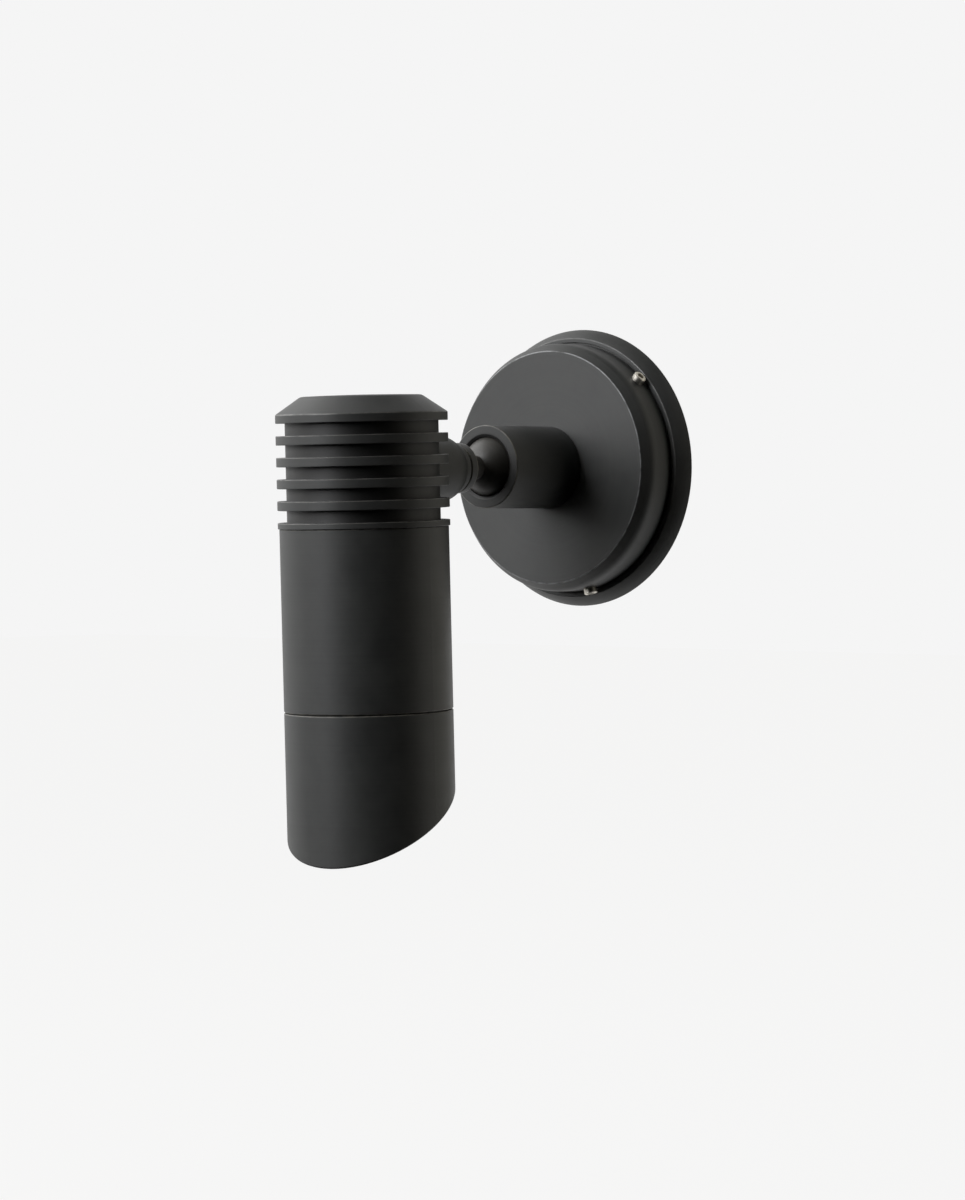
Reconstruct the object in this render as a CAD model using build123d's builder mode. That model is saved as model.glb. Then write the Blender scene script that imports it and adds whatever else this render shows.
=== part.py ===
"""Pivoting spotlight wall light: a round canopy, a ball joint on a short tube, and a finned lamp head.

The origin is the centre of the base plate's back face, where the wall is. +X is to the right for
someone facing the wall, +Y goes into the wall and +Z is up. All sizes are in millimetres.
"""
import os
from math import asin, cos, radians, sin, sqrt, tan

from build123d import *

os.makedirs("parts", exist_ok=True)

# ---------------------------------------------------------------- fits shared by the whole light
slide_fit = 0.08       # radial play of a piece that is pushed or screwed into another
turn_fit = 0.05        # radial play of the cowl on the barrel
body_gap = 0.3         # gap between faces of pieces that turn against each other
ball_play = 0.08       # play between the ball and its plastic seats
edge_break = 0.3       # small chamfer on machined edges
overcut = 1.0          # how far a cut runs past the metal that it clears

# ---------------------------------------------------------------- canopy: base plate and cover
cover_r = 45.5         # outer radius of the cover's side wall
flange_width = 5.5     # how far the base plate's flange stands out past the cover
flange_front = 5.6     # height of the flange off the wall
flange_draw = 3.3      # how far its domed side draws in over that height
flange_lean = 20.0     # degrees that the dome leans in where it leaves the wall
crest_round = 0.5      # rounding between the dome and the flat ring
ring_width = 1.5       # flat ring between the dome and the cover
ledge_depth = 0.6      # step down from the ring to the ledge that the cover stands on
floor_thick = 3.2      # thickness of the plate inside the spigot
cover_wall = 3.0
cover_face = 4.0       # thickness of the cover's front face
taper_width = 2.9      # how far the cover's edge draws in towards its face, radially
taper_height = 4.1     # and how tall that taper is
taper_round = 5.5      # rounding between the taper and the side wall
face_break = 0.2       # tiny rounding round the front face
spigot_wall = 2.8      # wall of the ring that the cover fits over
spigot_fit = 0.2       # radial play of the cover on that ring
screw_level = 3.6      # set screws above the ledge
seal_level = 3.6       # cover seal above the set screws
spigot_top = 2.0       # end of the spigot above the cover seal
cover_room = 1.4       # space between the spigot's end and the cover's inner face

set_screw_count = 3
set_screw_angle = 44.0  # place of the first set screw, from +X towards +Z
set_screw_r = 2.4
set_screw_proud = 2.2   # how far the screws stand out of the cover's wall
set_socket = 2.5        # hexagon socket across its flats, and its depth
set_socket_depth = 2.4
set_groove_depth = 0.8
screw_slot = 0.7        # driver slots of the small screws

cable_hole_r = 8.0      # hole in the base plate for the grommet
grommet_lip = 2.2       # radial width of the grommet's lips
grommet_back = 1.0      # lip that lies in the recess at the back
grommet_front = 1.2     # lip inside the canopy
cable_r = 3.5           # supply cable that the grommet takes

wall_screw_count = 3
wall_screw_r = 2.4      # clearance holes for the wall screws
wall_screw_inset = 6.5  # from the spigot's inside to the screw circle
wall_screw_angle = 90.0  # place of the first wall screw, from +X towards +Z
wall_seal_width = 2.2
wall_seal_depth = 1.5
wall_seal_inset = 2.6   # from the flange's edge to the seal

block_width = 21.0      # terminal block
block_height = 10.0
block_depth = 9.0
pole_pitch = 6.6
pole_count = 3
wire_hole_r = 1.6
pole_screw_r = 1.3
small_screw_r = 1.25    # screws that fix the terminal block
small_head_r = 1.9
earth_screw_r = 2.0
earth_angle = 150.0     # place of the earth screw on the wall screws' circle
earth_head_r = 3.6
earth_head = 2.4
screw_bite = 2.4        # depth of blind screw holes in the floor

# ---------------------------------------------------------------- ball tube and its contents
ball_r = 11.5
seat_wall = 0.7         # radial room for the plastic seats between ball and tube
tube_wall = 2.8
tube_length = 36.5      # from the cover's face to the tube's front
tube_shoulder = 1.4     # step from the tube to its threaded rear spigot
lip_hold = 0.75         # how much smaller the opening is than the ball
lip_land = 0.5          # straight part of the lip
lip_bevel = 1.0         # bevel in front of it
lip_bevel_depth = 0.6
nut_wall = 4.9          # radial width of the ring nut behind the cover's face
nut_height = 4.0
nut_slot = 3.0
nut_slot_count = 4
thread_end = 0.4        # thread that shows behind the nut

front_seat_height = 3.1
rear_seat_gap = 3.0     # from the ball's centre back to the rear seat's rim
rear_seat_web = 1.8     # seat thickness behind its bowl
seat_bore_r = 6.5
disc_count = 4
disc_thick = 0.7
disc_rise = 0.4
disc_bore_r = 7.4
retainer_thick = 3.0
retainer_slot = 2.4

# ---------------------------------------------------------------- neck, lock collar and hub
neck_droop = 1.75       # degrees that the neck hangs below level, as the joint has settled
neck_r = 4.2
thread_r = 3.9          # stud thread, past the neck
neck_end = 16.9         # from the ball's centre to the step on the stud
lead_bore_r = 2.3
flare_r = 5.0           # mouth of the lead bore in the back of the ball
flare_depth = 5.2
collar_r = 9.0
collar_back_r = 6.0
collar_cone = 3.0       # height of the cone on the ball's side
collar_band = 3.2       # straight band next to the hub
hub_band = 2.2          # straight band of the hub next to the collar
hub_r = 12.1
hub_length = 25.2      # from the seam to the hub's foot on the heat sink
hub_web = 9.3           # wall that the stud passes through
hub_bore_r = 7.9
hub_spigot_r = 10.0
hub_spigot = 3.3
seat_margin = 0.2       # flat of the hub's seat past its foot
hub_seal_r = 6.6
hub_seal_wire = 0.75
stud_nut_flats = 12.0
stud_nut_height = 4.0
stud_end = 1.3          # thread past the nut
lead_tail = 11.0        # lead sleeve past the end of the stud

# ---------------------------------------------------------------- finned head
head_lean = 0.35        # degrees that the head has turned about the neck
fin_count = 4
fin_thick = 3.25
fin_gap = 4.3
fin_depth = 3.25
fin_break = 0.15        # broken edges of the fins
cap_rim = 3.0
cap_slope = 6.1         # height of the sloping ring on top
cap_draw = 8.9          # and how far it draws in, radially
cap_crown = 0.35        # dome of the top face
rim_round = 0.8         # rounding between the rim and the slope
cap_round = 3.0         # and between the slope and the top face
skirt_thick = 2.1       # plain flange under the last groove
sink_wall = 3.75        # metal left behind the hub's seat
cavity_top = 10.0       # solid metal over the cavity
sink_spigot = 6.3
seal_floor = 1.5        # depth of the seal groove in the spigot
seal_room = 1.9         # width of the seal grooves

# ---------------------------------------------------------------- barrel, lamp and cowl
lamp_r = 25.0           # rim of the reflector lamp that the head is built round
lamp_room = 0.7         # radial room round the lamp's rim
barrel_neck = 13.0      # length of the narrower bore round the lamp's rim
barrel_relief = 0.8     # how much wider the bore is behind it, radially
barrel_wall = 3.0
barrel_step = 0.5       # how far the fins stand out past the barrel
cowl_fit_wall = 1.7     # wall left round the barrel's front spigot
cowl_spigot = 8.0
cowl_seal_depth = 0.9
cowl_seal_room = 1.4

plate_thick = 1.2
plate_screw_r = 1.25
plate_head_r = 2.3
plate_head = 1.6
plate_bite = 5.5
lead_hole_r = 5.0
post_r = 2.5
post_length = 9.15
post_x = 8.5
holder_r = 13.5
holder_height = 12.0
pin_pitch = 10.0
pin_r = 1.0
pin_play = 0.25
pin_length = 7.0
lamp_length = 40.0
lamp_rim = 3.2
lamp_neck_r = 9.0
lamp_neck = 11.0
lamp_shell = 1.3
bowl_swell = 0.62       # place of the bowl's belly between its neck and its rim, radially
bowl_turn = 0.36        # and along the axis, both as shares
capsule_r = 4.2
capsule_length = 15.0
lamp_recess = 3.0       # lamp's rim inside the barrel's end

gasket_thick = 1.0
gasket_width = 1.9
lens_thick = 4.0
lens_fit = 0.3
lens_ledge = 2.0
lens_ledge_in = 2.0     # ledge under the lens, radially inside the visor
visor_wall = 2.4
visor_round = 0.5       # rounding of the visor's slanted edge
visor_short = 19.95     # from the barrel's edge to the visor's end on its short side
visor_angle = 29.3      # slope of the cut
visor_turn = 9.8        # how far the long side is turned towards +X from straight out

# ---------------------------------------------------------------- levels along the canopy's axis
flange_r = cover_r + flange_width
dome_start = (-sin(radians(flange_lean)), cos(radians(flange_lean)))
ledge_r = flange_r - flange_draw - ring_width
ledge = flange_front - ledge_depth
set_level = ledge + screw_level
cover_seal_level = set_level + seal_level
spigot_end = cover_seal_level + spigot_top
cover_inside = spigot_end + cover_room
cover_front = cover_inside + cover_face
cover_bore_r = cover_r - cover_wall
spigot_r = cover_bore_r - spigot_fit
spigot_bore_r = spigot_r - spigot_wall
wall_screw_circle = spigot_bore_r - wall_screw_inset
earth_place = (wall_screw_circle * cos(radians(earth_angle)), wall_screw_circle * sin(radians(earth_angle)))
cover_seal_wire = (cover_bore_r - spigot_r + seal_floor) / 2

tube_bore_r = ball_r + seat_wall
tube_r = tube_bore_r + tube_wall
tube_spigot_r = tube_r - tube_shoulder
tube_front = cover_front + tube_length
tube_rear = cover_inside - nut_height - thread_end
nut_r = tube_spigot_r + nut_wall
block_place = -(nut_r + spigot_bore_r) / 2
lip_r = ball_r - lip_hold
lip_inside = tube_front - lip_bevel_depth - lip_land
ball_out = lip_inside - sqrt(ball_r**2 - (lip_r - ball_play) ** 2)
seat_r = ball_r + ball_play
loose_r = tube_bore_r - slide_fit
rear_seat_rim = ball_out - rear_seat_gap
rear_seat_back = ball_out - sqrt(seat_r**2 - seat_bore_r**2) - rear_seat_web
disc_height = disc_thick + disc_rise
retainer_front = rear_seat_back - disc_count * disc_height

# ---------------------------------------------------------------- radii of the head, from the lamp outwards
barrel_neck_r = lamp_r + lamp_room
barrel_bore_r = barrel_neck_r + barrel_relief
barrel_r = barrel_bore_r + barrel_wall
fin_r = barrel_r + barrel_step
floor_r = fin_r - fin_depth
cap_flat_r = fin_r - cap_draw
hub_seat_r = sqrt(floor_r**2 - (hub_r + seat_margin) ** 2)
cavity_r = hub_seat_r - sink_wall
sink_spigot_r = barrel_bore_r - slide_fit
sink_seal_wire = (barrel_bore_r - sink_spigot_r + seal_floor) / 2
plate_screw_circle = (cavity_r + sink_spigot_r - seal_floor) / 2
cowl_spigot_r = barrel_r - cowl_fit_wall
cowl_bore_r = cowl_spigot_r + turn_fit
cowl_seal_wire = (cowl_seal_depth - turn_fit) / 2
visor_bore_r = barrel_r - visor_wall

# ---------------------------------------------------------------- levels along the neck
collar_start = neck_end + body_gap
seam = collar_start + collar_cone + collar_band
hub_start = seam + body_gap
hub_foot = hub_start + hub_length
dome_centre = hub_start + hub_band + sqrt(hub_r**2 - collar_r**2)
web_end = hub_start + hub_web
nut_start = web_end + body_gap
stud_tip = nut_start + stud_nut_height + stud_end
head_reach = hub_foot + hub_seat_r

# ---------------------------------------------------------------- levels along the head, hub at 0
fins_half = ((fin_count + 1) * fin_gap + fin_count * fin_thick) / 2
cap_edge = fins_half + cap_rim
cap_top = cap_edge + cap_slope + cap_crown
skirt_end = -fins_half - skirt_thick
sink_end = skirt_end - sink_spigot
plate_low = sink_end - plate_thick
holder_top = plate_low - post_length
lamp_back = holder_top - holder_height
lamp_front = lamp_back - lamp_length
barrel_tip = lamp_front - lamp_recess
barrel_end = barrel_tip + cowl_spigot
cowl_top = barrel_end - body_gap
gasket_top = barrel_tip - body_gap
lens_top = gasket_top - gasket_thick
lens_low = lens_top - lens_thick
ledge_low = lens_low - lens_ledge
visor_middle = barrel_end - visor_short - barrel_r * tan(radians(visor_angle))
visor_reach = barrel_end - visor_short - 2 * barrel_r * tan(radians(visor_angle))

# ---------------------------------------------------------------- working planes and axes
droop = radians(neck_droop)
lean = radians(head_lean)
out_of_wall = Vector(0, -1, 0)
right = Vector(1, 0, 0)
neck_out = Vector(0, -cos(droop), -sin(droop))
hang = Vector(0, sin(droop), -cos(droop))
head_up = (hang * cos(lean) + right * sin(lean)) * -1
head_right = right * cos(lean) - hang * sin(lean)
ball_centre = out_of_wall * ball_out
head_centre = ball_centre + neck_out * head_reach

# in the section planes, local x is the radius and local y runs along the axis
canopy_section = Plane(origin=(0, 0, 0), x_dir=right, z_dir=(0, 0, -1))
neck_section = Plane(origin=ball_centre, x_dir=right, z_dir=hang)
head_section = Plane(origin=head_centre, x_dir=head_right, z_dir=neck_out)
canopy_axis = Axis((0, 0, 0), out_of_wall)
neck_axis = Axis(ball_centre, neck_out)
head_axis = Axis(head_centre, head_up)

# in the facing planes, local z runs along the axis
canopy_face = Plane(origin=(0, 0, 0), x_dir=right, z_dir=out_of_wall)
neck_face = Plane(origin=ball_centre, x_dir=right, z_dir=neck_out)
head_face = Plane(origin=head_centre, x_dir=head_right, z_dir=head_up)


def on_sphere(radius, along):
    """Point (distance from the axis, place along it) of a sphere centred at 0."""
    return (sqrt(radius**2 - along**2), along)


def save(builder, name):
    builder.part.label = name
    export_step(builder.part, f"parts/{name}.step")


# ================================================================ canopy
# The base plate: domed flange, ledge, spigot for the cover, and a thin floor with its holes.
with BuildPart() as base_plate:
    with BuildSketch(canopy_section) as base_profile:
        with BuildLine():
            Line((cable_hole_r, 0), (flange_r, 0))
            TangentArc((flange_r, 0), (flange_r - flange_draw, flange_front), tangent=dome_start)
            Polyline(
                (flange_r - flange_draw, flange_front),
                (ledge_r, flange_front),
                (ledge_r, ledge),
                (spigot_r, ledge),
                (spigot_r, spigot_end - edge_break),
                (spigot_r - edge_break, spigot_end),
                (spigot_bore_r, spigot_end),
                (spigot_bore_r, floor_thick),
                (cable_hole_r, floor_thick),
                (cable_hole_r, 0),
            )
        make_face()
        fillet(base_profile.vertices().sort_by_distance((flange_r - flange_draw, flange_front))[0], crest_round)
    revolve(axis=canopy_axis)
    # groove for the cover seal and a V groove for the points of the set screws
    with BuildSketch(canopy_section):
        with Locations((spigot_r, cover_seal_level)):
            Rectangle(2 * seal_floor, seal_room)
        with BuildLine():
            Polyline(
                (spigot_r, set_level - set_groove_depth),
                (spigot_r - set_groove_depth, set_level),
                (spigot_r, set_level + set_groove_depth),
                close=True,
            )
        make_face()
    revolve(axis=canopy_axis, mode=Mode.SUBTRACT)
    # recess at the back for the grommet's lip, and the groove for the wall seal
    with BuildSketch(canopy_face):
        Circle(cable_hole_r + grommet_lip + slide_fit)
    extrude(amount=grommet_back, mode=Mode.SUBTRACT)
    with BuildSketch(canopy_face):
        Circle(flange_r - wall_seal_inset)
        Circle(flange_r - wall_seal_inset - wall_seal_width, mode=Mode.SUBTRACT)
    extrude(amount=wall_seal_depth, mode=Mode.SUBTRACT)
    # holes for the wall screws
    with BuildSketch(canopy_face.offset(floor_thick)):
        with PolarLocations(wall_screw_circle, wall_screw_count, start_angle=wall_screw_angle):
            Circle(wall_screw_r)
    extrude(amount=-floor_thick, mode=Mode.SUBTRACT)
    # blind threaded holes for the terminal block and the earth screw
    with BuildSketch(canopy_face.offset(floor_thick)):
        with Locations((-pole_pitch / 2, block_place), (pole_pitch / 2, block_place)):
            Circle(small_screw_r + slide_fit)
        with Locations(earth_place):
            Circle(earth_screw_r + slide_fit)
    extrude(amount=-screw_bite, mode=Mode.SUBTRACT)
save(base_plate, "base_plate")

with BuildPart() as wall_seal:
    with BuildSketch(canopy_face):
        Circle(flange_r - wall_seal_inset - slide_fit)
        Circle(flange_r - wall_seal_inset - wall_seal_width + slide_fit, mode=Mode.SUBTRACT)
    extrude(amount=wall_seal_depth)
save(wall_seal, "wall_seal")

with BuildPart() as cover_seal:
    with BuildSketch(canopy_section):
        with Locations((cover_bore_r - cover_seal_wire, cover_seal_level)):
            Circle(cover_seal_wire)
    revolve(axis=canopy_axis)
save(cover_seal, "cover_seal")

# The cover: a turned cup with a tapered, rounded edge, a hole for the ball tube and set screw holes.
with BuildPart() as cover:
    with BuildSketch(canopy_section) as cover_profile:
        with BuildLine():
            Polyline(
                (cover_r, cover_front - taper_height),
                (cover_r - taper_width, cover_front),
                (tube_spigot_r + slide_fit, cover_front),
                (tube_spigot_r + slide_fit, cover_inside),
                (cover_bore_r, cover_inside),
                (cover_bore_r, ledge),
                (cover_r - edge_break, ledge),
                (cover_r, ledge + edge_break),
                close=True,
            )
        make_face()
        fillet(cover_profile.vertices().sort_by_distance((cover_r, cover_front - taper_height))[0], taper_round)
        fillet(cover_profile.vertices().sort_by_distance((cover_r - taper_width, cover_front))[0], face_break)
        fillet(cover_profile.vertices().sort_by_distance((cover_bore_r, cover_inside))[0], cover_wall / 2)
    revolve(axis=canopy_axis)
    for k in range(set_screw_count):
        angle = radians(set_screw_angle + k * 360 / set_screw_count)
        radial = Vector(cos(angle), 0, sin(angle))
        hole_plane = Plane(origin=out_of_wall * set_level + radial * cover_r, z_dir=radial)
        with BuildSketch(hole_plane):
            Circle(set_screw_r + slide_fit)
        extrude(amount=-cover_wall - overcut, mode=Mode.SUBTRACT)
save(cover, "cover")

# Socket set screws with cone points, standing a little proud of the cover.
with BuildPart() as cover_screws:
    tip_r = spigot_r - set_groove_depth / 2
    head_r = cover_r + set_screw_proud
    for k in range(set_screw_count):
        angle = radians(set_screw_angle + k * 360 / set_screw_count)
        radial = Vector(cos(angle), 0, sin(angle))
        screw_section = Plane(origin=out_of_wall * set_level, x_dir=out_of_wall, z_dir=out_of_wall.cross(radial))
        with BuildSketch(screw_section):
            with BuildLine():
                Polyline(
                    (0, tip_r),
                    (set_groove_depth / 4, tip_r),
                    (set_screw_r, tip_r + set_screw_r),
                    (set_screw_r, head_r - edge_break),
                    (set_screw_r - edge_break, head_r),
                    (0, head_r),
                    close=True,
                )
            make_face()
        revolve(axis=Axis(out_of_wall * set_level, radial))
        with BuildSketch(Plane(origin=out_of_wall * set_level + radial * head_r, x_dir=out_of_wall, z_dir=radial)):
            RegularPolygon(set_socket / 2, 6, major_radius=False)
        extrude(amount=-set_socket_depth, mode=Mode.SUBTRACT)
save(cover_screws, "cover_screws")

with BuildPart() as cable_grommet:
    with BuildSketch(canopy_section):
        with BuildLine():
            Polyline(
                (cable_r, 0),
                (cable_hole_r + grommet_lip, 0),
                (cable_hole_r + grommet_lip, grommet_back),
                (cable_hole_r - slide_fit, grommet_back),
                (cable_hole_r - slide_fit, floor_thick),
                (cable_hole_r + grommet_lip, floor_thick),
                (cable_hole_r + grommet_lip - grommet_front / 2, floor_thick + grommet_front),
                (cable_r, floor_thick + grommet_front),
                close=True,
            )
        make_face()
    revolve(axis=canopy_axis)
save(cable_grommet, "cable_grommet")

# Terminal block with wire holes along Z, screw wells in its front and two fixing screws.
with BuildPart() as terminal_block:
    with BuildSketch(canopy_face.offset(floor_thick)):
        with Locations((0, block_place)):
            Rectangle(block_width, block_height)
    extrude(amount=block_depth)
    with BuildSketch(canopy_face.offset(floor_thick + block_depth)):
        with Locations((0, block_place)):
            with GridLocations(pole_pitch, 1, pole_count, 1):
                Circle(pole_screw_r + slide_fit)
    extrude(amount=-block_depth / 2, mode=Mode.SUBTRACT)
    with BuildSketch(canopy_face.offset(floor_thick + block_depth)):
        with Locations((-pole_pitch / 2, block_place), (pole_pitch / 2, block_place)):
            Circle(small_screw_r + slide_fit)
    extrude(amount=-block_depth, mode=Mode.SUBTRACT)
    with BuildSketch(Plane.XY.offset(block_place - block_height / 2)):
        with Locations((0, -(floor_thick + block_depth / 4))):
            with GridLocations(pole_pitch, 1, pole_count, 1):
                Circle(wire_hole_r)
    extrude(amount=block_height, mode=Mode.SUBTRACT)
save(terminal_block, "terminal_block")

with BuildPart() as terminal_screws:
    with BuildSketch(canopy_face.offset(floor_thick + block_depth / 2)):
        with Locations((0, block_place)):
            with GridLocations(pole_pitch, 1, pole_count, 1):
                Circle(pole_screw_r)
    extrude(amount=block_depth / 4)
    with BuildSketch(canopy_face.offset(floor_thick + block_depth * 3 / 4)):
        with Locations((0, block_place)):
            with GridLocations(pole_pitch, 1, pole_count, 1):
                Rectangle(2 * pole_screw_r, screw_slot)
    extrude(amount=-screw_slot, mode=Mode.SUBTRACT)
save(terminal_screws, "terminal_screws")

with BuildPart() as block_screws:
    with BuildSketch(canopy_face.offset(floor_thick - screw_bite + slide_fit)):
        with Locations((-pole_pitch / 2, block_place), (pole_pitch / 2, block_place)):
            Circle(small_screw_r)
    extrude(amount=block_depth + screw_bite - slide_fit)
    with BuildSketch(canopy_face.offset(floor_thick + block_depth)):
        with Locations((-pole_pitch / 2, block_place), (pole_pitch / 2, block_place)):
            Circle(small_head_r)
    extrude(amount=small_head_r / 2)
    with BuildSketch(canopy_face.offset(floor_thick + block_depth + small_head_r / 2)):
        with Locations((-pole_pitch / 2, block_place), (pole_pitch / 2, block_place)):
            Rectangle(2 * small_head_r, screw_slot)
    extrude(amount=-screw_slot, mode=Mode.SUBTRACT)
save(block_screws, "block_screws")

with BuildPart() as earth_screw:
    with BuildSketch(canopy_face.offset(floor_thick - screw_bite + slide_fit)):
        with Locations(earth_place):
            Circle(earth_screw_r)
    extrude(amount=screw_bite - slide_fit)
    with BuildSketch(canopy_face.offset(floor_thick)):
        with Locations(earth_place):
            Circle(earth_head_r)
    extrude(amount=earth_head)
    with BuildSketch(canopy_face.offset(floor_thick + earth_head)):
        with Locations(earth_place):
            Rectangle(2 * earth_head_r, screw_slot)
            Rectangle(screw_slot, 2 * earth_head_r)
    extrude(amount=-earth_head / 2, mode=Mode.SUBTRACT)
save(earth_screw, "earth_screw")

# ================================================================ ball tube and its contents
# The tube holds the ball behind a bevelled lip; its threaded rear end passes through the cover.
with BuildPart() as ball_tube:
    with BuildSketch(canopy_section):
        with BuildLine():
            Polyline(
                (tube_bore_r, tube_rear),
                (tube_spigot_r, tube_rear),
                (tube_spigot_r, cover_front),
                (tube_r, cover_front),
                (tube_r, tube_front - edge_break),
                (tube_r - edge_break, tube_front),
                (lip_r + lip_bevel, tube_front),
                (lip_r, tube_front - lip_bevel_depth),
                (lip_r, lip_inside),
                (tube_bore_r, lip_inside),
                close=True,
            )
        make_face()
    revolve(axis=canopy_axis)
save(ball_tube, "ball_tube")

with BuildPart() as tube_nut:
    with BuildSketch(canopy_face.offset(cover_inside - nut_height)):
        Circle(nut_r)
        Circle(tube_spigot_r + slide_fit, mode=Mode.SUBTRACT)
    extrude(amount=nut_height)
    with BuildSketch(canopy_face.offset(cover_inside - nut_height)):
        with PolarLocations(nut_r, nut_slot_count):
            Rectangle(nut_wall, nut_slot)
    extrude(amount=nut_height / 2, mode=Mode.SUBTRACT)
save(tube_nut, "tube_nut")

with BuildPart() as front_seat:
    seat_front = lip_inside - ball_out
    seat_rear = seat_front - front_seat_height
    with BuildSketch(Plane(origin=ball_centre, x_dir=right, z_dir=(0, 0, -1))):
        with BuildLine():
            Polyline(on_sphere(seat_r, seat_rear), (loose_r, seat_rear), (loose_r, seat_front))
            Line((loose_r, seat_front), on_sphere(seat_r, seat_front))
            ThreePointArc(
                on_sphere(seat_r, seat_front),
                on_sphere(seat_r, (seat_front + seat_rear) / 2),
                on_sphere(seat_r, seat_rear),
            )
        make_face()
    revolve(axis=canopy_axis)
save(front_seat, "front_seat")

with BuildPart() as rear_seat:
    bowl_low = -sqrt(seat_r**2 - seat_bore_r**2)
    with BuildSketch(Plane(origin=ball_centre, x_dir=right, z_dir=(0, 0, -1))):
        with BuildLine():
            Polyline(
                (seat_bore_r, bowl_low),
                (seat_bore_r, bowl_low - rear_seat_web),
                (loose_r, bowl_low - rear_seat_web),
                (loose_r, -rear_seat_gap),
                on_sphere(seat_r, -rear_seat_gap),
            )
            ThreePointArc(
                on_sphere(seat_r, -rear_seat_gap),
                on_sphere(seat_r, (bowl_low - rear_seat_gap) / 2),
                (seat_bore_r, bowl_low),
            )
        make_face()
    revolve(axis=canopy_axis)
save(rear_seat, "rear_seat")

# Conical disc springs, each turned the other way from its neighbour.
with BuildPart() as disc_springs:
    for k in range(disc_count):
        low = retainer_front + k * disc_height
        inner_low = low + disc_rise * (1 - k % 2)
        outer_low = low + disc_rise * (k % 2)
        with BuildSketch(canopy_section):
            with BuildLine():
                Polyline(
                    (disc_bore_r, inner_low),
                    (loose_r, outer_low),
                    (loose_r, outer_low + disc_thick),
                    (disc_bore_r, inner_low + disc_thick),
                    close=True,
                )
            make_face()
        revolve(axis=canopy_axis)
save(disc_springs, "disc_springs")

with BuildPart() as spring_retainer:
    with BuildSketch(canopy_face.offset(retainer_front - retainer_thick)):
        Circle(loose_r)
        Circle(disc_bore_r, mode=Mode.SUBTRACT)
    extrude(amount=retainer_thick)
    with BuildSketch(canopy_face.offset(retainer_front - retainer_thick)):
        Rectangle(3 * loose_r, retainer_slot)
    extrude(amount=retainer_thick / 2, mode=Mode.SUBTRACT)
save(spring_retainer, "spring_retainer")

# ================================================================ neck
# The ball, its neck and its threaded stud in one turned piece, bored for the leads.
with BuildPart() as ball_stud:
    flare_level = -sqrt(ball_r**2 - flare_r**2)
    neck_level = sqrt(ball_r**2 - neck_r**2)
    with BuildSketch(neck_section):
        with BuildLine():
            Polyline(
                (neck_r, neck_level),
                (neck_r, neck_end),
                (thread_r, neck_end),
                (thread_r, stud_tip - edge_break),
                (thread_r - edge_break, stud_tip),
                (lead_bore_r, stud_tip),
                (lead_bore_r, flare_level + flare_depth),
                (flare_r, flare_level),
            )
            ThreePointArc((flare_r, flare_level), (ball_r, 0), (neck_r, neck_level))
        make_face()
    revolve(axis=neck_axis)
save(ball_stud, "ball_stud")

with BuildPart() as lead_sleeve:
    with BuildSketch(neck_face.offset(flare_level + flare_depth / 4)):
        Circle(lead_bore_r - slide_fit)
    extrude(amount=stud_tip + lead_tail - flare_level - flare_depth / 4)
save(lead_sleeve, "lead_sleeve")

with BuildPart() as stud_nut:
    with BuildSketch(neck_face.offset(nut_start)):
        RegularPolygon(radius=stud_nut_flats / 2, side_count=6, major_radius=False)
        Circle(thread_r + turn_fit, mode=Mode.SUBTRACT)
    extrude(amount=stud_nut_height)
save(stud_nut, "stud_nut")

with BuildPart() as lock_collar:
    with BuildSketch(neck_section):
        with BuildLine():
            Polyline(
                (thread_r + slide_fit, collar_start),
                (collar_back_r, collar_start),
                (collar_r, collar_start + collar_cone),
                (collar_r, seam - edge_break),
                (collar_r - edge_break, seam),
                (thread_r + slide_fit, seam),
                close=True,
            )
        make_face()
    revolve(axis=neck_axis)
save(lock_collar, "lock_collar")

# ================================================================ head
# The hub: band, dome and cylinder, standing on a flat in the heat sink with a spigot in its wall.
with BuildPart() as hub:
    dome_half = asin(collar_r / hub_r) / 2 + radians(45)
    with BuildSketch(neck_section):
        with BuildLine():
            Polyline(
                (thread_r + slide_fit, hub_start),
                (collar_r - edge_break, hub_start),
                (collar_r, hub_start + edge_break),
                (collar_r, hub_start + hub_band),
            )
            ThreePointArc(
                (collar_r, hub_start + hub_band),
                (hub_r * sin(dome_half), dome_centre - hub_r * cos(dome_half)),
                (hub_r, dome_centre),
            )
            Polyline(
                (hub_r, dome_centre),
                (hub_r, hub_foot),
                (hub_spigot_r, hub_foot),
                (hub_spigot_r, hub_foot + hub_spigot),
                (hub_bore_r, hub_foot + hub_spigot),
                (hub_bore_r, web_end),
                (thread_r + slide_fit, web_end),
                (thread_r + slide_fit, hub_start),
            )
        make_face()
    revolve(axis=neck_axis)
    with BuildSketch(neck_face.offset(hub_start)):
        Circle(hub_seal_r + hub_seal_wire)
        Circle(hub_seal_r - hub_seal_wire, mode=Mode.SUBTRACT)
    extrude(amount=2 * hub_seal_wire, mode=Mode.SUBTRACT)
save(hub, "hub")

with BuildPart() as hub_seal:
    with BuildSketch(neck_section):
        with Locations((hub_seal_r, hub_start + hub_seal_wire)):
            Circle(hub_seal_wire)
    revolve(axis=neck_axis)
save(hub_seal, "hub_seal")

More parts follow.
